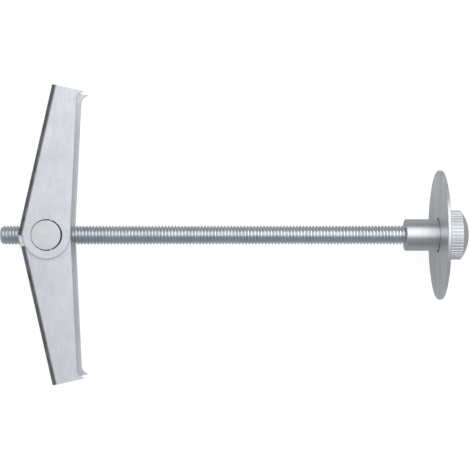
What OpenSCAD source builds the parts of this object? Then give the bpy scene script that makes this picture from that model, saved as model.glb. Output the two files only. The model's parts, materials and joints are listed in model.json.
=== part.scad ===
// Spring toggle bolt: a threaded rod with a barrel nut and two sprung wings at one end,
// and a knurled sleeve nut with a large washer at the other.
//
// The solids are drawn about the rod: +X runs along it towards the head, +Y along the open
// wings and +Z along the wings' pivot. The origin is the centre of the washer's clamping
// face. The whole part is then tipped about Y, so that it lies on the washer's rim and on
// the back of the wings, as it does on a table.

/* [Threaded rod] */
// Major diameter of the rod's thread
rod_d = 4; // [3.5:0.1:4.4]
// Length of the rod
rod_len = 95; // [75:1:150]
// Chamfer on both ends of the rod
rod_chamfer = 0.5; // [0.2:0.1:0.8]
// Length of rod behind the wings' pivot
rod_tail = 10.3; // [8:0.1:14]
// Length of rod past the washer's clamping face, inside the nut's head
rod_grip = 2; // [1:0.1:2.4]

/* [Barrel nut] */
// Diameter of the barrel that the wings turn on
barrel_d = 6.27; // [5.8:0.01:6.8]
// Chamfer on the barrel's ends
barrel_chamfer = 0.15; // [0.05:0.05:0.3]
// How far the barrel sits back in the loose holes of the wings
barrel_back = 0.11; // [0:0.01:0.14]

/* [Wings] */
// Length of a wing from its pivot to its tip, along the web
wing_len = 31.1; // [25:0.1:40]
// Thickness of the sheet
sheet_t = 0.85; // [0.7:0.05:1]
// Outer radius of the two folds
bend_r = 1.15; // [1.1:0.05:1.6]
// Distance from the pivot's axis to the back of the web
web_back = 5.98; // [5.7:0.01:6.5]
// Angle at which the open edges close in on the web towards the tip
edge_taper = 10.1; // [8:0.1:12]
// Angle at which an open wing leans towards the head
open_lean = 12.8; // [11:0.1:15]
// Height of a tooth above the open edge
tooth_h = 1.45; // [0.8:0.05:1.6]
// Radius of the hollow side of a tooth
tooth_hollow_r = 2; // [1.6:0.1:3]
// Length of the flat stop tab beside the rod
tab_len = 2.5; // [2:0.1:3]

/* [Spring] */
// Diameter of the spring's wire
wire_d = 0.5; // [0.4:0.05:0.6]
// Length of each straight leg
leg_len = 11; // [8:0.5:14]
// Radius at which the wire turns across the lower wing
bridge_r = 0.8; // [0.6:0.1:1.2]

/* [Washer] */
// Outer diameter of the washer
washer_d = 27.5; // [22:0.5:34]
// Thickness of the washer
washer_t = 0.75; // [0.5:0.05:1.5]
// Rolled edge of the washer's rim
washer_edge = 0.12; // [0.05:0.01:0.2]

/* [Sleeve nut] */
// Outer diameter of the sleeve
sleeve_d = 6.7; // [6.2:0.1:8]
// Length of the sleeve in front of the washer
sleeve_len = 7.1; // [4:0.1:12]
// Rounding of the sleeve's edge
sleeve_edge = 0.3; // [0.1:0.05:0.5]
// Depth of the turned relief under the head, where the washer sits
relief_depth = 0.2; // [0.1:0.05:0.3]
// Diameter of the countersink in the sleeve's mouth
mouth_d = 4.9; // [4.7:0.1:5.5]
// Diameter of the head over the knurl
head_d = 10.5; // [9.5:0.1:13]
// Length of the head's knurled band
head_len = 3.9; // [3.5:0.1:6]
// Height of the dome on the head
dome_h = 1.8; // [1.5:0.1:3]
// Number of grooves in the knurl
knurl_count = 48; // [36:1:60]
// Depth of the grooves
knurl_depth = 0.2; // [0.1:0.02:0.24]
// Unused depth of thread beyond the rod's end
thread_spare = 2.2; // [1:0.1:2.4]

/* [Fits] */
// Radial clearance of the rod in its threads, and on it the thread is left plain
thread_play = 0.05; // [0.02:0.01:0.1]
// Radial clearance of the barrel in the wings' holes
pivot_play = 0.165; // [0.15:0.005:0.2]
// Radial clearance of the sleeve in the washer
washer_play = 0.4; // [0.2:0.05:0.6]
// Gap between the washer and the head
head_play = 0.05; // [0.02:0.01:0.1]
// Gap between the two wings, where their ears overlap and at their stops
ear_play = 0.05; // [0.03:0.01:0.1]
// Gap between the rod and the sides of the wings' slots
slot_play = 0.25; // [0.2:0.05:0.4]
// Gap on either side of each spring coil
coil_play = 0.08; // [0.05:0.01:0.15]
// Radial gap between the barrel and the spring
spring_play = 0.12; // [0.05:0.01:0.2]
// Gap between a spring leg and the web that it presses on
leg_play = 0.1; // [0.08:0.01:0.15]

/* [Hidden] */
$fn = 96;
eps = 0.01;

// Places along the rod
rod_tip_x = rod_grip - rod_len;
pivot_x = rod_tip_x + rod_tail;
head_x = washer_t + head_play;
dome_x = head_x + head_len;

// The spring is tangent to its legs, which reach from the coil to the webs
web_front = web_back - sheet_t;
coil_r = barrel_d / 2 + spring_play + wire_d / 2;
leg_reach = web_front - barrel_back * cos(open_lean) - leg_play - wire_d / 2;
leg_spread = atan2(leg_len, coil_r) - acos(leg_reach / norm([coil_r, leg_len]));
leg_lean = open_lean - leg_spread;
coil_sweep = 360 + 2 * leg_lean;
coil_gap = 0.03;
coil_rise = coil_sweep / 360 * (wire_d + coil_gap);
coil_in_z = rod_d / 2 + coil_play + wire_d / 2;
coil_out_z = coil_in_z + coil_rise;

// The wings are alike. One lies half a sheet in front of the rod's axis and the other half
// a sheet behind it, so that each has one ear outside and one ear inside the other wing's.
inner_half = coil_out_z + wire_d / 2 + coil_play;
ear_shift = (sheet_t + ear_play) / 2;
wing_w = 2 * (inner_half + ear_shift + sheet_t);
outer_z = wing_w / 2 + ear_shift;
inner_z = -wing_w / 2 + ear_shift;
barrel_len = 2 * outer_z;
hole_r = barrel_d / 2 + pivot_play;
slot_half = rod_d / 2 + slot_play;

// The inner ear turns inside the other wing's fold, clear of the fold's inside radius
inside_r = bend_r - sheet_t;
corner_room = inside_r - sqrt(pow(inside_r, 2) - pow(inside_r - ear_play, 2));
ear_r = web_front - corner_room - ear_play;

// The lie of the part: the washer's rim and the fold of the lower wing, where it ends
// beside the rod, touch one plane
fold_x = pivot_x - (web_back - bend_r) / cos(open_lean);
fold_z = bend_r - outer_z;
lie_run = washer_edge - fold_x;
lie_rise = washer_d / 2 + fold_z;
lie_angle = atan2(lie_rise, lie_run) - asin(bend_r / norm([lie_run, lie_rise]));

module lying() {
    rotate([0, -lie_angle, 0]) children();
}

// Turns a profile of radius against length, drawn as [length, radius], about the rod's axis
module turned() {
    rotate([0, 90, 0]) rotate_extrude() mirror([1, -1, 0]) children();
}

// ---------------------------------------------------------------- threaded rod

// A plain bar of the thread's major diameter, chamfered at both ends
module threaded_rod() {
    r = rod_d / 2;
    color("lightsteelblue") lying() translate([rod_tip_x, 0, 0]) turned() polygon([
        [0, 0],
        [0, r - rod_chamfer],
        [rod_chamfer, r],
        [rod_len - rod_chamfer, r],
        [rod_len, r - rod_chamfer],
        [rod_len, 0]
    ]);
}

// ---------------------------------------------------------------- barrel nut

// A short round bar with a tapped cross hole. It sits back in the loose holes of the wings.
module trunnion_nut() {
    r = barrel_d / 2;
    bore_r = rod_d / 2 + thread_play;
    color("silver") lying() difference() {
        translate([pivot_x - barrel_back, 0, -barrel_len / 2]) rotate_extrude() polygon([
            [0, 0],
            [r - barrel_chamfer, 0],
            [r, barrel_chamfer],
            [r, barrel_len - barrel_chamfer],
            [r - barrel_chamfer, barrel_len],
            [0, barrel_len]
        ]);
        translate([pivot_x - barrel_d, 0, 0]) rotate([0, 90, 0]) cylinder(r = bore_r, h = 2 * barrel_d);
    }
}

// ---------------------------------------------------------------- wings

// A wing is drawn before it leans towards the head, with the pivot at the origin: +Y runs
// along the web to the tip, and +X from the web to the open edges.

// A point that is given along and beside the rod, in the wing's own frame
function beside_rod(x, y) = [
    x * cos(open_lean) - y * sin(open_lean),
    x * sin(open_lean) + y * cos(open_lean)
];

// A point of the outline, from its height above the open edge and its distance along it.
// The open edge leaves the ear's circle and closes in on the web towards the tip. Where an
// edge runs into an arc it dips by a hair, so that the two cross and don't just touch.
dip = 0.02;
edge_r = ear_r - dip;
function edge_point(high, along) = [
    (edge_r + high) * cos(edge_taper) - along * sin(edge_taper),
    (edge_r + high) * sin(edge_taper) + along * cos(edge_taper)
];

// The tooth's hollow is an arc that leaves the open edge smoothly and ends at the tooth's
// point, where the channel is cut square
tooth_along = (wing_len - (edge_r + tooth_h) * sin(edge_taper)) / cos(edge_taper);
hollow_along = tooth_along - sqrt(tooth_h * (2 * tooth_hollow_r - tooth_h));

// The wing seen along its pivot. It is drawn past the web and past the tip, where the
// channel itself ends.
module wing_outline() {
    stop_y = ear_play / 2;
    difference() {
        union() {
            circle(r = ear_r);
            polygon([
                beside_rod(-2 * web_back, stop_y),
                beside_rod(0, stop_y),
                edge_point(0, 0),
                edge_point(0, hollow_along),
                edge_point(tooth_hollow_r, hollow_along + tooth_hollow_r),
                [-2 * web_back, wing_len + tooth_hollow_r]
            ]);
        }
        translate(edge_point(tooth_hollow_r - dip, hollow_along)) circle(r = tooth_hollow_r);
        circle(r = hole_r);
    }
}

// The section of the folded sheet, drawn as [distance in front of the pivot, height]
module fold_section(back, low, high, corner_r) {
    far = web_back + wing_len;
    union() {
        translate([-back + corner_r, low]) square([far, high - low]);
        translate([-back, low + corner_r]) square([far, high - low - 2 * corner_r]);
        for (z = [low + corner_r, high - corner_r])
            translate([-back + corner_r, z]) circle(r = corner_r);
    }
}

// The folded channel, cut square at the tip and drawn past the rod
module wing_channel() {
    translate([0, wing_len, 0]) rotate([90, 0, 0])
    linear_extrude(wing_len + 2 * web_back) difference() {
        fold_section(web_back, inner_z, outer_z, bend_r);
        fold_section(web_front, inner_z + sheet_t, outer_z - sheet_t, inside_r);
    }
}

// The strip beside the rod where the inner ear has no fold, between two distances behind
// the pivot
tab_end = (tab_len - web_back * sin(open_lean)) / cos(open_lean);
module tab_strip(back, front) {
    translate([-back, -web_back]) square([back - front, web_back + tab_end]);
}

// The channel with the inner ear's fold cut away beside the rod, which leaves a flat tab
module tabbed_channel() {
    fold_end = web_back - bend_r - sheet_t / 2;
    difference() {
        wing_channel();
        translate([0, 0, inner_z - eps])
            linear_extrude(sheet_t + inner_half) tab_strip(2 * web_back, fold_end);
    }
    translate([0, 0, inner_z]) linear_extrude(sheet_t) tab_strip(web_back, 0);
}

// The slot that lets the rod through the web
module rod_slot() {
    translate([-web_back - sheet_t, 0, 0])
    rotate([90, 0, 90])
    linear_extrude(3 * sheet_t) {
        circle(r = slot_half);
        translate([-2 * web_back, -slot_half]) square([2 * web_back, 2 * slot_half]);
    }
}

// One wing, as it stands on the rod's +Y side, with the pivot at the origin. The fold of
// its outer ear runs down to the rod's axis and stops on the flat tab of the other wing.
module wing() {
    rotate([0, 0, -open_lean]) difference() {
        intersection() {
            tabbed_channel();
            translate([0, 0, inner_z - eps]) linear_extrude(wing_w + 2 * eps) wing_outline();
        }
        rod_slot();
    }
}

module upper_wing() {
    color("gainsboro") lying() translate([pivot_x, 0, 0]) wing();
}

module lower_wing() {
    color("lightgray") lying() translate([pivot_x, 0, 0]) rotate([180, 0, 0]) wing();
}

// ---------------------------------------------------------------- torsion spring

// The wire's path runs down the front leg and once round the barrel, then across the lower
// wing and back behind the rod. The barrel's axis is at [0, 0].
coil_steps = 24;
bridge_steps = 4;
coil_start = 180 - leg_lean;
leg_end = leg_len - bridge_r;

function coil_point(part) = [
    coil_r * cos(coil_start + part * coil_sweep),
    coil_r * sin(coil_start + part * coil_sweep),
    coil_out_z - part * coil_rise
];
leg_top = coil_point(0) + leg_len * [sin(leg_lean), cos(leg_lean), 0];
leg_foot = coil_point(1) + leg_end * [sin(leg_lean), -cos(leg_lean), 0];
function bridge_point(turn) = leg_foot
    + bridge_r * sin(turn) * [sin(leg_lean), -cos(leg_lean), 0]
    - bridge_r * (1 - cos(turn)) * [0, 0, 1];

front_path = concat(
    [leg_top],
    [for (i = [0:coil_steps]) coil_point(i / coil_steps)],
    [for (i = [0:bridge_steps]) bridge_point(90 * i / bridge_steps)]
);
last = len(front_path) - 1;
wire_path = concat(
    front_path,
    [for (i = [last:-1:0]) [front_path[i][0], front_path[i][1], -front_path[i][2]]]
);

// Sweeps a round wire along a list of points, with each ring turned as little as possible
module wire(path, d, sides = 8) {
    n = len(path);
    unit = function(v) v / norm(v);
    dirs = [for (i = [0:n - 1]) unit(path[min(i + 1, n - 1)] - path[max(i - 1, 0)])];
    square_to = function(v, dir) unit(v - (v * dir) * dir);
    sides_on = [
        for (i = 0, v = square_to([0, 0, 1], dirs[0]); i < n;
            i = i + 1, v = i < n ? square_to(v, dirs[i]) : v) v
    ];
    points = [
        for (i = [0:n - 1], k = [0:sides - 1])
            let (turn = 360 * k / sides)
            path[i] + d / 2 * (cos(turn) * sides_on[i] + sin(turn) * cross(dirs[i], sides_on[i]))
    ];
    walls = [
        for (i = [0:n - 2], k = [0:sides - 1])
            let (next = (k + 1) % sides)
            [i * sides + k, (i + 1) * sides + k, (i + 1) * sides + next, i * sides + next]
    ];
    first_end = [for (k = [0:sides - 1]) k];
    last_end = [for (k = [sides - 1:-1:0]) (n - 1) * sides + k];
    polyhedron(points, concat(walls, [first_end, last_end]), convexity = 6);
}

module torsion_spring() {
    color("dimgray") lying() translate([pivot_x - barrel_back, 0, 0]) wire(wire_path, wire_d);
}

// ---------------------------------------------------------------- washer

module washer() {
    r = washer_d / 2;
    hole = sleeve_d / 2 + washer_play;
    color("darkgray") lying() turned() polygon([
        [0, hole],
        [0, r - washer_edge],
        [washer_edge, r],
        [washer_t - washer_edge, r],
        [washer_t, r - washer_edge],
        [washer_t, hole]
    ]);
}

// ---------------------------------------------------------------- sleeve nut

// The star that cuts the knurl: each groove has sides at 45 degrees to its middle
module knurl_star() {
    root = head_d / 2 - knurl_depth;
    half_pitch = 180 / knurl_count;
    crest = root * sin(45) / sin(45 - half_pitch);
    polygon([
        for (i = [0:knurl_count - 1], high = [0, 1])
            let (turn = (2 * i + high) * half_pitch, r = high == 1 ? crest : root)
            [r * cos(turn), r * sin(turn)]
    ]);
}

// The head: a knurled band and a dome, cut from the ball that gives the dome its curve
module nut_head() {
    r = head_d / 2;
    ball_r = (pow(r, 2) + pow(dome_h, 2)) / (2 * dome_h);
    intersection() {
        translate([head_x, 0, 0]) rotate([0, 90, 0]) cylinder(r = r, h = head_len + dome_h);
        translate([dome_x + dome_h - ball_r, 0, 0]) sphere(r = ball_r);
        rotate([0, 90, 0]) linear_extrude(dome_x + dome_h) knurl_star();
    }
}

// The sleeve that passes through the washer into the wall. It is relieved under the head, so
// that the washer can lie flat against the head.
module nut_sleeve() {
    r = sleeve_d / 2;
    turned() {
        polygon([
            [-sleeve_len, 0],
            [-sleeve_len, r - sleeve_edge],
            [sleeve_edge - sleeve_len, r - sleeve_edge],
            [sleeve_edge - sleeve_len, r],
            [0, r],
            [0, r - relief_depth],
            [head_x + eps, r - relief_depth],
            [head_x + eps, 0]
        ]);
        translate([sleeve_edge - sleeve_len, r - sleeve_edge]) circle(r = sleeve_edge);
    }
}

// The blind thread, left plain, with a countersunk mouth and the drill's pointed end
module nut_thread() {
    r = rod_d / 2 + thread_play;
    mouth_r = mouth_d / 2;
    bottom = rod_grip + thread_spare;
    point = r * tan(31);
    translate([-sleeve_len, 0, 0]) rotate([0, 90, 0]) {
        translate([0, 0, -eps]) cylinder(r = r, h = sleeve_len + bottom + eps);
        translate([0, 0, -eps]) cylinder(r1 = mouth_r + eps, r2 = r, h = mouth_r - r + eps);
        translate([0, 0, sleeve_len + bottom]) cylinder(r1 = r, r2 = 0, h = point);
    }
}

module sleeve_nut() {
    color("whitesmoke") lying() difference() {
        union() {
            nut_sleeve();
            nut_head();
        }
        nut_thread();
    }
}

threaded_rod();
trunnion_nut();
upper_wing();
lower_wing();
torsion_spring();
washer();
sleeve_nut();
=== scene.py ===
# Spring toggle bolt: a threaded rod that carries a barrel nut with two sprung wings at one
# end, and a knurled sleeve nut with a large washer at the other. It lies on the washer's rim
# and on the lower wing. Pieces are drawn in millimetres, with +X along the rod towards the
# head, +Y along the open wings and +Z along the wings' pivot, and are then laid down.
import json
from math import acos, atan2, cos, hypot, pi, radians, sin, tan

import bmesh
import bpy
from mathutils import Matrix, Vector


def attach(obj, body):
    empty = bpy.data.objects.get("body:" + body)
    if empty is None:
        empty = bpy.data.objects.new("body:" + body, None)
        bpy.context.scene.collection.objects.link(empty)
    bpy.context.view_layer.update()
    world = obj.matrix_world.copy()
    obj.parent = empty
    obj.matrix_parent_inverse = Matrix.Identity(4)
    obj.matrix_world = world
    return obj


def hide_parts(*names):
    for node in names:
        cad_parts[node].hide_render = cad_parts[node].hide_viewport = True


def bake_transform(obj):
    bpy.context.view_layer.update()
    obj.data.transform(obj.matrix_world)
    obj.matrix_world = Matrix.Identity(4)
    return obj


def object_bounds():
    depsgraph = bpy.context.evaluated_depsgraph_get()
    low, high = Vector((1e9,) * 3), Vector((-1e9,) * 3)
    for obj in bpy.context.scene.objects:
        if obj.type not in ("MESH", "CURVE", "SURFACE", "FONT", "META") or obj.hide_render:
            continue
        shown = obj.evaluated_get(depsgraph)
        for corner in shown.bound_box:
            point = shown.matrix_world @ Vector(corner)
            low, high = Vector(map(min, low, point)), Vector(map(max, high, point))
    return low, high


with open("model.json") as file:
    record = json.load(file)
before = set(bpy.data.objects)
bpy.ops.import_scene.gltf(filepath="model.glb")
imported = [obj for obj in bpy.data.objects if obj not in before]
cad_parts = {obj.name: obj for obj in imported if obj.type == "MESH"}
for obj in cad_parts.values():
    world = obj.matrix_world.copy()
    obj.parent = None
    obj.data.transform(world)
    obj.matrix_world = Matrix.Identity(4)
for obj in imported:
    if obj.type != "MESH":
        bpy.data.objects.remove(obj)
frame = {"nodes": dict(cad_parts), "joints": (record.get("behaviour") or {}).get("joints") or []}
cad_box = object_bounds()

# ---------------------------------------------------------------- threaded rod
# A length of M4 studding: mild steel wire with a right-handed thread rolled along all of it,
# cut off, chamfered at both ends and bright zinc plated. It screws through the barrel nut
# behind and into the sleeve nut in front.
MM = 0.001
joints = {joint["name"]: joint for joint in frame["joints"]}
rod_axis = Vector(joints["toggle_travel"]["axis"])
pivot_axis = Vector(joints["lower_fold"]["axis"])
lie_angle = atan2(rod_axis.z, rod_axis.x)
along_rod = Matrix((rod_axis, (0, 1, 0), pivot_axis)).transposed()
lie = along_rod.to_4x4() @ Matrix.Scale(MM, 4)

rod_r = 2.0
thread_pitch = 0.7
depth_share = 0.6134
thread_depth = depth_share * thread_pitch
rod_chamfer = 0.5
rod_spots = [vertex.co @ rod_axis / MM for vertex in frame["nodes"]["threaded_rod"].data.vertices]
rod_tip_x = min(rod_spots)
rod_front_x = max(rod_spots)
spare_turns = 3
thread_turns = int((rod_front_x - rod_tip_x) / thread_pitch) + spare_turns
across_pitch = 9
crest_end = 1 / 8
root_at = 1 / 2
steps_round = 48
weld = 0.001
noise_span = {"From Min": 0.3, "From Max": 0.7}


def linear(hex_code):
    """The linear colour of an sRGB hex value, as a node's socket takes it."""
    def channel(share):
        return share / 12.92 if share <= 0.04045 else ((share + 0.055) / 1.055) ** 2.4
    return [channel(int(hex_code[i:i + 2], 16) / 255) for i in (0, 2, 4)] + [1.0]


def add(tree, kind, inputs=None, **settings):
    """Adds a node with its settings. An input is a value, a socket, or a node's first output."""
    node = tree.nodes.new(kind)
    for name, value in settings.items():
        setattr(node, name, value)
    for key, value in (inputs or {}).items():
        if isinstance(value, bpy.types.Node):
            value = next(socket for socket in value.outputs if socket.enabled)
        if isinstance(value, bpy.types.NodeSocket):
            tree.links.new(value, node.inputs[key])
        else:
            node.inputs[key].default_value = value
    return node


def new_tree(name, sizes):
    """A Geometry Nodes tree that takes a geometry, named sizes and a material."""
    tree = bpy.data.node_groups.new(name, "GeometryNodeTree")
    tree.interface.new_socket("Geometry", in_out="INPUT", socket_type="NodeSocketGeometry")
    for size, kind in sizes.items():
        tree.interface.new_socket(size, in_out="INPUT", socket_type="NodeSocket" + kind)
    tree.interface.new_socket("Material", in_out="INPUT", socket_type="NodeSocketMaterial")
    tree.interface.new_socket("Geometry", in_out="OUTPUT", socket_type="NodeSocketGeometry")
    return tree, add(tree, "NodeGroupInput").outputs


def end_tree(tree, given, made):
    """Ends a tree in Realize Instances and Set Material."""
    real = add(tree, "GeometryNodeRealizeInstances", {"Geometry": made})
    dressed = add(tree, "GeometryNodeSetMaterial", {"Geometry": real, "Material": given["Material"]})
    add(tree, "NodeGroupOutput", {"Geometry": dressed})


def made_plain(mesh, set_up):
    """The plain mesh that comes of a mesh once set_up has given its object modifiers."""
    carrier = bpy.data.objects.new("carrier", mesh)
    bpy.context.scene.collection.objects.link(carrier)
    set_up(carrier)
    graph = bpy.context.evaluated_depsgraph_get()
    result = bpy.data.meshes.new_from_object(carrier.evaluated_get(graph))
    bpy.data.objects.remove(carrier)
    return result


def run_tree(tree, mesh, values):
    """Runs a tree on a mesh with its inputs set, and returns the result as a plain mesh."""
    def set_up(carrier):
        modifier = carrier.modifiers.new("tree", "NODES")
        modifier.node_group = tree
        for item in tree.interface.items_tree:
            if item.in_out == "INPUT" and item.name in values:
                modifier[item.identifier] = values[item.name]
    return made_plain(mesh, set_up)


def keep_flat(carrier):
    """Keeps an object's large faces flat where they meet small rounded ones."""
    weighting = carrier.modifiers.new("flats", "WEIGHTED_NORMAL")
    weighting.keep_sharp = True


def add_piece(name, mesh, smooth_under=30, flats=False):
    """A piece from a mesh in millimetres, laid down with the bolt. Its edges stay sharp above
    an angle in degrees."""
    mesh.transform(lie)
    mesh.shade_smooth()
    mesh.set_sharp_from_angle(angle=radians(smooth_under))
    if flats:
        mesh = made_plain(mesh, keep_flat)
    piece = bpy.data.objects.new(name, mesh)
    bpy.context.scene.collection.objects.link(piece)
    return piece


def finish(name, hex_code, rough, metallic=1.0):
    """A material of one colour, with the nodes that vary it left to the caller."""
    material = bpy.data.materials.new(name)
    material.use_nodes = True
    shader = material.node_tree.nodes["Principled BSDF"]
    shader.inputs["Base Color"].default_value = linear(hex_code)
    shader.inputs["Metallic"].default_value = metallic
    shader.inputs["Roughness"].default_value = rough
    return material, material.node_tree, shader


def along_bolt(tree):
    """The place on a piece, in metres, with X along the rod's axis and Z along the pivot."""
    place = add(tree, "ShaderNodeTexCoord").outputs["Object"]
    return add(tree, "ShaderNodeMapping", {"Vector": place, "Rotation": (0, lie_angle, 0)})


def patches(tree, size_mm, low, high, stretch=(1, 1, 1)):
    """Patches of a real size in the rod's directions, as a value between low and high. The
    noise seldom leaves its span, which is spread out over them."""
    scaled = add(tree, "ShaderNodeMapping", {
        "Vector": along_bolt(tree), "Scale": [share / (size_mm * MM) for share in stretch],
    })
    noise = add(tree, "ShaderNodeTexNoise", {"Vector": scaled, "Scale": 1.0, "Detail": 3.0})
    return add(tree, "ShaderNodeMapRange", {"Value": noise, "To Min": low, "To Max": high, **noise_span})


def tint(tree, shader, share):
    """Multiplies the shader's base colour by a share that varies over the surface."""
    base = shader.inputs["Base Color"].default_value[:3]
    mixed = add(tree, "ShaderNodeVectorMath", {0: base, 1: share}, operation="MULTIPLY")
    tree.links.new(mixed.outputs[0], shader.inputs["Base Color"])


# Bright zinc on a rolled thread: the rolls burnish the flanks, so they glint along the
# helix, and the plating is cool, light and a little uneven from crest to crest.
rod_zinc, tree, shader = finish("bright zinc on a rolled thread", "E8EDF2", 0.34)
tint(tree, shader, patches(tree, 2.5, 0.95, 1.03))
tree.links.new(patches(tree, 0.35, 0.32, 0.36).outputs[0], shader.inputs["Roughness"])

# The thread is one strip that winds along the rod. The grid's X counts the turns, and its Y
# runs across one pitch, from crest to crest. Each crest is flat for an eighth of a pitch to
# both sides of its middle, and the flanks meet in a sharp root halfway.
tree, given = new_tree("rolled thread", {
    "Turns": "Int", "Steps": "Int", "Points Across": "Int", "Pitch": "Float", "Radius": "Float",
    "Depth": "Float", "Crest End": "Float", "Root At": "Float", "Chamfer": "Float",
    "Start": "Float", "End": "Float",
})
columns = add(
    tree, "ShaderNodeMath", {0: given["Turns"], 1: given["Steps"], 2: 1.0}, operation="MULTIPLY_ADD"
)
grid = add(tree, "GeometryNodeMeshGrid", {
    "Size X": given["Turns"], "Size Y": 1.0,
    "Vertices X": columns, "Vertices Y": given["Points Across"],
})
spot = add(tree, "ShaderNodeSeparateXYZ", {0: add(tree, "GeometryNodeInputPosition")}).outputs
turn = add(tree, "ShaderNodeMath", {0: given["Turns"], 1: 0.5, 2: spot["X"]}, operation="MULTIPLY_ADD")
share = add(tree, "ShaderNodeMath", {0: spot["Y"], 1: 0.5}, operation="ADD")
off_crest = add(tree, "ShaderNodeMath", {0: share, 1: 0.5}, operation="PINGPONG")
cut = add(tree, "ShaderNodeMapRange", {
    "Value": off_crest, "From Min": given["Crest End"], "From Max": given["Root At"],
    "To Max": given["Depth"],
})
thread_r = add(tree, "ShaderNodeMath", {0: given["Radius"], 1: cut}, operation="SUBTRACT")
late_turn = add(tree, "ShaderNodeMath", {0: turn, 1: 0.5}, operation="SUBTRACT")
pitches = add(tree, "ShaderNodeMath", {0: late_turn, 1: spot["Y"]}, operation="ADD")
free_x = add(
    tree, "ShaderNodeMath", {0: pitches, 1: given["Pitch"], 2: given["Start"]}, operation="MULTIPLY_ADD"
)
x = add(tree, "ShaderNodeClamp", {"Value": free_x, "Min": given["Start"], "Max": given["End"]})
from_start = add(tree, "ShaderNodeMath", {0: x, 1: given["Start"]}, operation="SUBTRACT")
from_end = add(tree, "ShaderNodeMath", {0: given["End"], 1: x}, operation="SUBTRACT")
from_face = add(tree, "ShaderNodeMath", {0: from_start, 1: from_end}, operation="MINIMUM")
face_r = add(tree, "ShaderNodeMath", {0: given["Radius"], 1: given["Chamfer"]}, operation="SUBTRACT")
cone_r = add(tree, "ShaderNodeMath", {0: face_r, 1: from_face}, operation="ADD")
r = add(tree, "ShaderNodeMath", {0: thread_r, 1: cone_r}, operation="MINIMUM")
angle = add(tree, "ShaderNodeMath", {0: turn, 1: 2 * pi}, operation="MULTIPLY")
wound = add(tree, "ShaderNodeCombineXYZ", {"X": x, "Y": r})
wound = add(tree, "ShaderNodeVectorRotate", {"Vector": wound, "Angle": angle}, rotation_type="X_AXIS")
parts = [add(tree, "GeometryNodeSetPosition", {"Geometry": grid, "Position": wound})]
disc = add(tree, "GeometryNodeMeshCircle", {"Vertices": given["Steps"], "Radius": face_r}, fill_type="NGON")
for face_x, way in ((given["Start"], -pi / 2), (given["End"], pi / 2)):
    moved = add(tree, "ShaderNodeCombineXYZ", {"X": face_x})
    parts.append(add(tree, "GeometryNodeTransform", {
        "Geometry": disc, "Translation": moved, "Rotation": (0, way, 0),
    }))
joined = add(tree, "GeometryNodeJoinGeometry")
for part in parts:
    tree.links.new(part.outputs[0], joined.inputs[0])
welded = add(tree, "GeometryNodeMergeByDistance", {"Geometry": joined, "Distance": weld})
end_tree(tree, given, welded)

rod_mesh = run_tree(tree, bpy.data.meshes.new("seed"), {
    "Turns": thread_turns, "Steps": steps_round, "Points Across": across_pitch,
    "Pitch": thread_pitch, "Radius": rod_r, "Depth": thread_depth, "Crest End": crest_end,
    "Root At": root_at, "Chamfer": rod_chamfer, "Start": rod_tip_x, "End": rod_front_x,
    "Material": rod_zinc,
})
rod = add_piece("studding", rod_mesh, smooth_under=50)
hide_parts("threaded_rod")
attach(rod, "rod")

# ---------------------------------------------------------------- barrel nut
# A short length of round steel bar, parted off with a small chamfer, cross drilled and tapped
# for the rod, and zinc plated. It sits back in the wings' loose holes, which leaves a dark
# crescent in front of it.
pivot_x = (along_rod.transposed() @ Vector(joints["upper_fold"]["pos_m"])).x / MM
barrel_r = 3.135
barrel_back = 0.11
barrel_edge = 0.04
barrel_x = pivot_x - barrel_back
solid_weld = 0.002
end_slack = 0.01


def off_axis(tree, place, axis):
    """How far a place stands from an axis through the origin."""
    across = add(tree, "ShaderNodeVectorMath", {0: place, 1: axis}, operation="CROSS_PRODUCT")
    return add(tree, "ShaderNodeVectorMath", {0: across}, operation="LENGTH")


def rings(tree, axis, pitch_mm, centre_x=0.0):
    """Fine uneven rings that a turning tool leaves about an axis, along and across it."""
    centred = add(tree, "ShaderNodeMapping", {
        "Vector": along_bolt(tree), "Location": (-centre_x / pitch_mm, 0, 0),
        "Scale": [1 / (pitch_mm * MM)] * 3,
    })
    along = add(tree, "ShaderNodeVectorMath", {0: centred, 1: axis}, operation="DOT_PRODUCT")
    off = off_axis(tree, centred, axis)
    run = add(tree, "ShaderNodeMath", {0: along, 1: off}, operation="ADD")
    return add(tree, "ShaderNodeTexNoise", {"W": run, "Scale": 1.0}, noise_dimensions="1D")


def raise_by(tree, shader, height, depth_mm):
    """Bumps the surface by a height of 0 to 1, times a real depth."""
    raised = add(tree, "ShaderNodeBump", {"Strength": 1.0, "Distance": depth_mm * MM, "Height": height})
    tree.links.new(raised.outputs[0], shader.inputs["Normal"])


def soft_edged(node, material, edge_round, reshape=None):
    """A copy of a solid's mesh with whole flat faces and a small round along its edges, once
    reshape has moved what points it has to."""
    mesh = frame["nodes"][node].data.copy()
    mesh.transform(lie.inverted())
    form = bmesh.new()
    form.from_mesh(mesh)
    bmesh.ops.remove_doubles(form, verts=form.verts, dist=solid_weld)
    bmesh.ops.dissolve_limit(form, angle_limit=radians(0.5), verts=form.verts, edges=form.edges)
    if reshape:
        reshape(form)
    form.to_mesh(mesh)
    form.free()
    mesh.materials.clear()
    mesh.materials.append(material)

    def set_up(carrier):
        rounded = carrier.modifiers.new("rounded", "BEVEL")
        rounded.width = edge_round
        rounded.segments = 2
        rounded.limit_method = "ANGLE"
        rounded.angle_limit = radians(35)
        rounded.use_clamp_overlap = False
    return made_plain(mesh, set_up)


# Bright zinc on a parted-off bar: the plating keeps the tool's faint rings on the two round
# faces, so they shine a little less evenly than a polished face would.
barrel_zinc, tree, shader = finish("bright zinc on a parted-off bar", "E2E6EA", 0.4)
raise_by(tree, shader, rings(tree, (0, 0, 1), 0.12, barrel_x), 0.002)
tint(tree, shader, patches(tree, 1.6, 0.95, 1.03))


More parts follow.
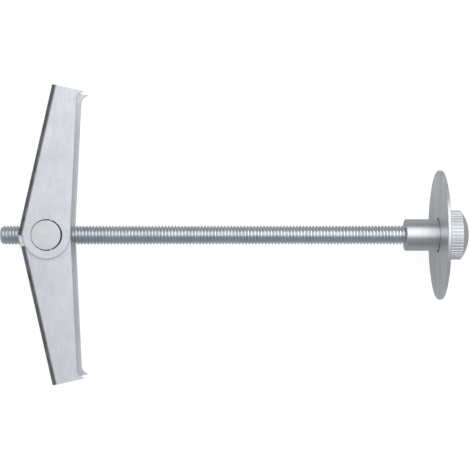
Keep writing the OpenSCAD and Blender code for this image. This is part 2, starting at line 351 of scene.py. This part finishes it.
def narrow_chamfer(form):
    """Leaves of each end's chamfer only the narrow ring that the tumbled plating shows."""
    end_z = max(vertex.co.z for vertex in form.verts)
    for vertex in form.verts:
        from_middle = hypot(vertex.co.x - barrel_x, vertex.co.y)
        if abs(vertex.co.z) > end_z - end_slack and from_middle < barrel_r:
            wider = (barrel_r - barrel_edge) / from_middle
            vertex.co.x = barrel_x + (vertex.co.x - barrel_x) * wider
            vertex.co.y = vertex.co.y * wider


barrel_mesh = soft_edged("trunnion_nut", barrel_zinc, barrel_edge, narrow_chamfer)
barrel = add_piece("barrel_nut", barrel_mesh, flats=True)
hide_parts("trunnion_nut")
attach(barrel, "toggle_nut")

# ---------------------------------------------------------------- wings
# Two like pressings of 0.85 mm steel sheet, each a channel that tapers to a pair of teeth,
# with a round hole in both ears. They are blanked, folded and barrel plated with bright zinc,
# which rounds their sheared edges a little.
sheet_edge = 0.06
open_lean = radians(12.8)
fold_gain = 3

# Bright zinc on cold rolled sheet: a soft, even, bluish light grey with faint clouds from the
# tumbling, and a fine grain along the wing. On the outside of the folds the colour is painted
# down, unevenly, to a fifth to a half of its tone: painted shade for the dark reflection that
# the folds show, over a little real dulling where the plating stretched.
sheet_zinc, tree, shader = finish("bright zinc on cold rolled sheet", "F5F8FE", 0.56)
clouds = patches(tree, 5.0, 0.93, 1.03)
grain = patches(tree, 0.5, 0.96, 1.03, stretch=(1, 0.12, 1))
tree.links.new(patches(tree, 1.2, 0.52, 0.60).outputs[0], shader.inputs["Roughness"])
raise_by(tree, shader, patches(tree, 0.25, 0.0, 1.0), 0.002)
on_fold = add(tree, "ShaderNodeAttribute", attribute_name="fold").outputs["Fac"]
# Painted shade on the outside of the folds, at a fifth to a half of the tone, unevenly.
fold_shade_tone = patches(tree, 0.8, 0.21, 0.47, stretch=(1, 0.4, 1))
painted_fold_shade = add(tree, "ShaderNodeMapRange", {"Value": on_fold, "To Min": 1.0, "To Max": fold_shade_tone})
tone_and_painted_light = add(tree, "ShaderNodeMath", {0: clouds, 1: grain}, operation="MULTIPLY")
tint(tree, shader, add(tree, "ShaderNodeMath", {0: tone_and_painted_light, 1: painted_fold_shade}, operation="MULTIPLY"))

# A face on the outside of a fold looks both the web's way and an ear's way, so the product
# of the two marks it for the painted shade.
for node, way in (("upper_wing", 1), ("lower_wing", -1)):
    pressing = soft_edged(node, sheet_zinc, sheet_edge)
    web_side = Vector((-cos(open_lean), way * sin(open_lean), 0))
    fold = pressing.attributes.new("fold", "FLOAT", "FACE")
    for face, mark in zip(pressing.polygons, fold.data):
        mark.value = min(1, fold_gain * max(0, face.normal @ web_side) * abs(face.normal.z))
    wing = add_piece(node + "_pressing", pressing, flats=True)
    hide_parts(node)
    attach(wing, node)

# ---------------------------------------------------------------- torsion spring
# One length of 0.5 mm spring wire, coiled once round the barrel nut on each side of the rod.
# Its straight legs press on the wings' webs and open them, and a bridge across the lower wing
# joins its two halves.
wire_r = 0.25
leg_len = 11.0
bridge_r = 0.8
spring_play = 0.12
coil_play = 0.08
coil_gap = 0.03
leg_play = 0.1
web_front = 5.13

coil_r = barrel_r + spring_play + wire_r
leg_reach = web_front - barrel_back * cos(open_lean) - leg_play - wire_r
leg_spread = atan2(leg_len, coil_r) - acos(leg_reach / hypot(coil_r, leg_len))
leg_lean = open_lean - leg_spread
coil_start = pi - leg_lean
coil_sweep = 2 * pi + 2 * leg_lean
coil_pitch = 2 * wire_r + coil_gap
coil_in_z = rod_r + coil_play + wire_r
ring_step = pi / 48
wire_sides = 12


def coil_point(turned):
    """A point of the front coil, from the angle turned since the upper leg."""
    z = coil_in_z + coil_pitch * (coil_sweep - turned) / (2 * pi)
    angle = coil_start + turned
    return Vector((barrel_x + coil_r * cos(angle), coil_r * sin(angle), z))


def arc(start, end):
    """The stretch of the front coil between two angles turned."""
    steps = max(2, round((end - start) / ring_step))
    return [coil_point(start + (end - start) * k / steps) for k in range(steps + 1)]


def leg(root, side, length):
    """The straight leg in the upper wing (1) or the lower one (-1), from the coil outwards."""
    steps = 12
    way = Vector((sin(leg_lean), side * cos(leg_lean), 0))
    return [root + way * length * k / steps for k in range(1, steps + 1)]


def bridge(foot):
    """The bend at the foot of the front leg, as far as the middle of the bridge."""
    steps = 8
    way = Vector((sin(leg_lean), -cos(leg_lean), 0))
    back = Vector((0, 0, -1))
    turns = [pi / 2 * k / steps for k in range(1, steps + 1)]
    bend = [foot + bridge_r * (sin(t) * way + (1 - cos(t)) * back) for t in turns]
    return bend + [Vector((bend[-1].x, bend[-1].y, 0))]


def behind(points):
    """The same stretch of wire behind the rod."""
    return [Vector((p.x, p.y, -p.z)) for p in points]


wire_tree, given = new_tree("round wire", {"Radius": "Float", "Sides": "Int"})
path = add(wire_tree, "GeometryNodeMeshToCurve", {"Mesh": given["Geometry"]})
section = add(wire_tree, "GeometryNodeCurvePrimitiveCircle", {
    "Resolution": given["Sides"], "Radius": given["Radius"],
})
swept = add(wire_tree, "GeometryNodeCurveToMesh", {
    "Curve": path, "Profile Curve": section, "Fill Caps": True,
})
end_tree(wire_tree, given, swept)

# Drawn spring steel: hard bright wire, darker than the plating round it, with faint dull
# stretches from the drawing die.
spring_wire, tree, shader = finish("drawn spring steel wire", "8C8F94", 0.3)
tint(tree, shader, patches(tree, 0.4, 0.8, 1.1))


def wire(name, stretches):
    """A piece of round wire along one or more stretches."""
    points = []
    edges = []
    for stretch in stretches:
        edges += [(len(points) + k, len(points) + k + 1) for k in range(len(stretch) - 1)]
        points += stretch
    mesh = bpy.data.meshes.new(name)
    mesh.from_pydata(points, edges, [])
    swept = run_tree(wire_tree, mesh, {"Radius": wire_r, "Sides": wire_sides, "Material": spring_wire})
    return add_piece(name, swept, smooth_under=50)


to_bottom = 1.5 * pi - coil_start
to_top = 2.5 * pi - coil_start
upper = [*reversed(leg(coil_point(0), 1, leg_len)), *arc(0, to_bottom)]
middle = arc(to_bottom, to_top)
foot = leg(coil_point(coil_sweep), -1, leg_len - bridge_r)
lower = [*arc(to_top, coil_sweep), *foot, *bridge(foot[-1])]
spring_mid = wire("spring_coils", [middle, behind(middle)])
spring_up = wire("spring_upper_legs", [upper, behind(upper)])
spring_down = wire("spring_lower_legs", [lower + behind(lower[:-1])[::-1]])
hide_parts("torsion_spring")
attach(spring_mid, "toggle_nut")

# The coils stay with the barrel nut. The legs, each with the near stretch of its coil, have their
# placing baked into their meshes and are not attached to any body.
root_y = coil_r * sin(leg_lean)
for legs, body, side in ((spring_up, "upper_wing", 1), (spring_down, "lower_wing", -1)):
    moved = lie @ Vector((barrel_x, side * root_y, 0))
    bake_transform(legs)

# ---------------------------------------------------------------- washer
# A penny washer punched from 0.75 mm strip, with a hole that is loose on the sleeve, and zinc
# plated. Its faces keep the straight grain of the rolled strip, and tumbling has rounded the
# punched rim, which stays rougher than the faces.
washer_r = 13.75
washer_t = 0.75
washer_edge = 0.12
washer_hole_r = 3.75
hole_edge = 0.06
washer_steps = 192
face_rough = 0.29
rim_rough = 0.48


def rounding(x, r, x_way, r_way, size, steps=4):
    """A rounded corner of a turned profile, whose flat sides leave it at x_way and r_way."""
    turns = [pi / 2 * k / steps for k in range(steps + 1)]
    return [(x + x_way * size * (1 - sin(t)), r + r_way * size * (1 - cos(t))) for t in turns]


def lathe(name, profile, steps, material, closed=False):
    """Turns a profile of (x, radius) about the rod's axis. A point on the axis is a pole."""
    mesh = bpy.data.meshes.new(name)
    form = bmesh.new()
    rows = []
    for x, r in profile:
        angles = [2 * pi * k / steps for k in range(steps if r > 0 else 1)]
        rows.append([form.verts.new((x, r * cos(a), r * sin(a))) for a in angles])
    nexts = rows[1:] + rows[:1] if closed else rows[1:]
    for near, far in zip(rows, nexts):
        for k in range(steps):
            following = k + 1
            ring = [near[k % len(near)], near[following % len(near)]]
            ring += [far[following % len(far)], far[k % len(far)]]
            form.faces.new(list(dict.fromkeys(ring)))
    bmesh.ops.recalc_face_normals(form, faces=form.faces)
    form.to_mesh(mesh)
    form.free()
    mesh.materials.append(material)
    return mesh


# Bright zinc on rolled strip: a mid grey, with the strip's straight grain as soft streaks
# across the face. The real grain is a tenth of a millimetre wide. The streaks are 2.2 mm wide,
# as coarse as they need to be to show.
washer_zinc, tree, shader = finish("bright zinc on rolled strip", "F3F7FB", face_rough)
grain = patches(tree, 0.35, 0.9, 1.06, stretch=(1, 0.06, 1))
streaks = patches(tree, 2.2, 0.86, 1.1, stretch=(1, 0.1, 1))
tint(tree, shader, add(tree, "ShaderNodeMath", {0: grain, 1: streaks}, operation="MULTIPLY"))
raise_by(tree, shader, patches(tree, 0.3, 0.0, 1.0, stretch=(1, 0.05, 1)), 0.002)
from_rod = off_axis(tree, along_bolt(tree), (1, 0, 0))
flat_r = (washer_r - washer_edge) * MM
on_rim = add(tree, "ShaderNodeMath", {0: from_rod, 1: flat_r}, operation="GREATER_THAN")
rough = add(tree, "ShaderNodeMapRange", {"Value": on_rim, "To Min": face_rough, "To Max": rim_rough})
tree.links.new(rough.outputs[0], shader.inputs["Roughness"])
washer_profile = [
    *rounding(0, washer_hole_r, 1, 1, hole_edge)[::-1],
    *rounding(washer_t, washer_hole_r, -1, 1, hole_edge),
    *rounding(washer_t, washer_r, -1, -1, washer_edge)[::-1],
    *rounding(0, washer_r, 1, -1, washer_edge),
]
washer_mesh = lathe("penny_washer", washer_profile, washer_steps, washer_zinc, closed=True)
washer = add_piece("penny_washer", washer_mesh, flats=True)
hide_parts("washer")
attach(washer, "washer")

# ---------------------------------------------------------------- sleeve nut
# Turned from free-cutting steel bar in one chucking: a smooth sleeve with a blind M4 thread,
# and a domed head that is rolled with a straight knurl before it is parted off and plated.
sleeve_r = 3.35
sleeve_len = 7.1
sleeve_edge = 0.3
mouth_r = 2.45
bore_r = 2.05
bore_end_x = 4.2
drill_slope = radians(31)
drill_point = bore_r * tan(drill_slope)
relief_depth = 0.2
head_r = 5.25
head_x = 0.8
head_len = 3.9
dome_h = 1.8
head_edge = 0.05
knurl_count = 48
knurl_depth = 0.2
knurl_side = radians(40)
groove_steps = 8
dome_rows = 26
row_crowding = 1.6
smooth_rough = 0.4
smooth_painted_shade = 0.84
knurl_rough = 0.54
knurl_painted_light = 1.06

dome_x = head_x + head_len
ball_r = (head_r ** 2 + dome_h ** 2) / (2 * dome_h)
dome_turn = atan2(head_r, ball_r - dome_h)


def dome_point(k):
    """A point of the dome, from its edge to its pole, with the rows closest at the edge."""
    turn = dome_turn * (1 - (k / dome_rows) ** row_crowding)
    return (dome_x + dome_h - ball_r * (1 - cos(turn)), ball_r * sin(turn))


# The straight knurl presses in every point that stands outside a star of shallow grooves, so
# the grooves run out in scallops on the dome. Side is the angle between a groove's middle and
# its sides.
knurl, given = new_tree("straight knurl", {
    "Grooves": "Int", "Root Radius": "Float", "Side": "Float", "Start": "Float",
})
here = add(knurl, "GeometryNodeInputPosition")
spot = add(knurl, "ShaderNodeSeparateXYZ", {0: here}).outputs
half_pitch = add(knurl, "ShaderNodeMath", {0: pi, 1: given["Grooves"]}, operation="DIVIDE")
angle = add(knurl, "ShaderNodeMath", {0: spot["Z"], 1: spot["Y"]}, operation="ARCTAN2")
off_root = add(knurl, "ShaderNodeMath", {0: angle, 1: half_pitch}, operation="PINGPONG")
lean = add(knurl, "ShaderNodeMath", {0: given["Side"], 1: off_root}, operation="SUBTRACT")
slope = add(knurl, "ShaderNodeMath", {0: lean}, operation="SINE")
full_slope = add(knurl, "ShaderNodeMath", {0: given["Side"]}, operation="SINE")
root_side = add(knurl, "ShaderNodeMath", {0: given["Root Radius"], 1: full_slope}, operation="MULTIPLY")
star_r = add(knurl, "ShaderNodeMath", {0: root_side, 1: slope}, operation="DIVIDE")
across = add(knurl, "ShaderNodeVectorMath", {0: here, 1: (0, 1, 1)}, operation="MULTIPLY")
own_r = add(knurl, "ShaderNodeVectorMath", {0: across}, operation="LENGTH")
share = add(knurl, "ShaderNodeMath", {0: star_r, 1: own_r}, operation="DIVIDE")
pressed = add(knurl, "ShaderNodeMath", {0: share, 1: 1.0}, operation="MINIMUM")
scale = add(knurl, "ShaderNodeCombineXYZ", {"X": 1.0, "Y": pressed, "Z": pressed})
moved = add(knurl, "ShaderNodeVectorMath", {0: here, 1: scale}, operation="MULTIPLY")
on_head = add(knurl, "FunctionNodeCompare", {0: spot["X"], 1: given["Start"]}, operation="GREATER_THAN")
knurled = add(knurl, "GeometryNodeSetPosition", {
    "Geometry": given["Geometry"], "Selection": on_head, "Position": moved,
})
end_tree(knurl, given, knurled)

# Bright zinc on turned steel: a steady shine on the sleeve and the dome, with rings from the
# tool. The tool's feed is about 0.1 mm, and its marks are drawn 0.5 mm apart so that they show.
# The rolled knurl is rougher. It is painted lighter, and the sleeve and dome darker, as painted
# light and shade for the knurl's brighter reflections.
nut_zinc, tree, shader = finish("bright zinc on turned steel", "EEF2F6", smooth_rough)
raise_by(tree, shader, rings(tree, (1, 0, 0), 0.15), 0.002)
on_knurl = add(tree, "ShaderNodeMath", {
    0: add(tree, "ShaderNodeSeparateXYZ", {0: along_bolt(tree)}),
    1: (head_x + dome_x) / 2 * MM,
    2: head_len / 2 * MM,
}, operation="COMPARE")
rough = add(tree, "ShaderNodeMapRange", {"Value": on_knurl, "To Min": smooth_rough, "To Max": knurl_rough})
tree.links.new(rough.outputs[0], shader.inputs["Roughness"])
# Painted light on the knurl and painted shade on the sleeve and the dome.
tone_and_painted_light = add(tree, "ShaderNodeMapRange", {"Value": on_knurl, "To Min": smooth_painted_shade, "To Max": knurl_painted_light})
tool_marks = add(tree, "ShaderNodeMapRange", {
    "Value": rings(tree, (1, 0, 0), 0.5), "To Min": 0.93, "To Max": 1.04, **noise_span,
})
tint(tree, shader, add(tree, "ShaderNodeMath", {0: tool_marks, 1: tone_and_painted_light}, operation="MULTIPLY"))
nut_profile = [
    (bore_end_x + drill_point, 0.0),
    (bore_end_x, bore_r),
    (mouth_r - bore_r - sleeve_len, bore_r),
    (-sleeve_len, mouth_r),
    *rounding(-sleeve_len, sleeve_r, 1, -1, sleeve_edge, steps=8)[::-1],
    (0.0, sleeve_r),
    (0.0, sleeve_r - relief_depth),
    (head_x, sleeve_r - relief_depth),
    *rounding(head_x, head_r, 1, -1, head_edge)[::-1],
    *[dome_point(k) for k in range(dome_rows)],
    (dome_x + dome_h, 0.0),
]
blank = lathe("nut_blank", nut_profile, knurl_count * groove_steps, nut_zinc)
nut_mesh = run_tree(knurl, blank, {
    "Grooves": knurl_count, "Root Radius": head_r - knurl_depth, "Side": knurl_side,
    "Start": head_x + weld, "Material": nut_zinc,
})
nut = add_piece("knurled_nut", nut_mesh, flats=True)
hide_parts("sleeve_nut")
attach(nut, "sleeve_nut")

# ---------------------------------------------------------------- floor, light and camera
# A pale paper sweep, one large softbox over the bolt, and a camera that looks straight down
# on the rod and along the wings' pivot, as the bolt lies. The floor and the softbox are sized
# in metres.
floor_z = cad_box[0].z
floor_half = 3.0
floor_glow = 0.86
metal_share = 0.26
view_x = -43.2
view_high = 277.0
lens_mm = 99.57
softbox_turn = radians(20.5)
softbox_side = radians(12)
softbox_far = 650.0
softbox_w = 0.58
softbox_h = 0.80
softbox_white = 1.5

# Pale grey paper, sized and uncoated: quite matt, and it takes the bolt's shadow. A glow shows
# it white to the camera, and at a quarter of that in metal, so that shiny edges stay dark.
paper, tree, shader = finish("pale grey paper sweep", "A0A0A0", 0.9, metallic=0.0)
ray = add(tree, "ShaderNodeLightPath").outputs
in_metal = add(tree, "ShaderNodeMath", {0: ray["Is Glossy Ray"], 1: metal_share}, operation="MULTIPLY")
direct = add(tree, "ShaderNodeMath", {0: ray["Is Camera Ray"], 1: in_metal}, operation="MAXIMUM")
seen = add(tree, "ShaderNodeMath", {0: direct, 1: ray["Is Transmission Ray"]}, operation="MAXIMUM")
glow = add(tree, "ShaderNodeMath", {0: seen, 1: floor_glow}, operation="MULTIPLY")
shader.inputs["Emission Color"].default_value = (1, 1, 1, 1)
tree.links.new(glow.outputs[0], shader.inputs["Emission Strength"])
floor_mesh = bpy.data.meshes.new("floor")
corners = [(x * floor_half, y * floor_half, floor_z) for x, y in ((-1, -1), (1, -1), (1, 1), (-1, 1))]
floor_mesh.from_pydata(corners, [], [(0, 1, 2, 3)])
floor_mesh.materials.append(paper)
floor = bpy.data.objects.new("floor", floor_mesh)
bpy.context.scene.collection.objects.link(floor)

world = bpy.data.worlds.new("studio")
bpy.context.scene.world = world
world.use_nodes = True
world.node_tree.nodes["Background"].inputs["Color"].default_value = linear("909090")

# The softbox's power makes its face softbox_white times as bright as full white.
lamp = bpy.data.lights.new("softbox", "AREA")
lamp.shape = "RECTANGLE"
lamp.size = softbox_w
lamp.size_y = softbox_h
lamp.energy = softbox_white * pi * softbox_w * softbox_h
softbox = bpy.data.objects.new("softbox", lamp)
bpy.context.scene.collection.objects.link(softbox)
turned = Matrix.Rotation(softbox_side, 4, "Y") @ Matrix.Rotation(-softbox_turn, 4, "X")
softbox.matrix_world = (
    Matrix.Translation(lie @ Vector((view_x, 0, 0))) @ along_rod.to_4x4() @ turned
    @ Matrix.Translation((0, 0, softbox_far * MM))
)

camera = bpy.data.objects.new("camera", bpy.data.cameras.new("camera"))
bpy.context.scene.collection.objects.link(camera)
camera.data.sensor_width = 36.0
camera.data.lens = lens_mm
camera.data.clip_start = 0.01
camera.matrix_world = Matrix.Translation(lie @ Vector((view_x, 0, view_high))) @ along_rod.to_4x4()
bpy.context.scene.camera = camera
bpy.context.scene.view_settings.view_transform = "Standard"
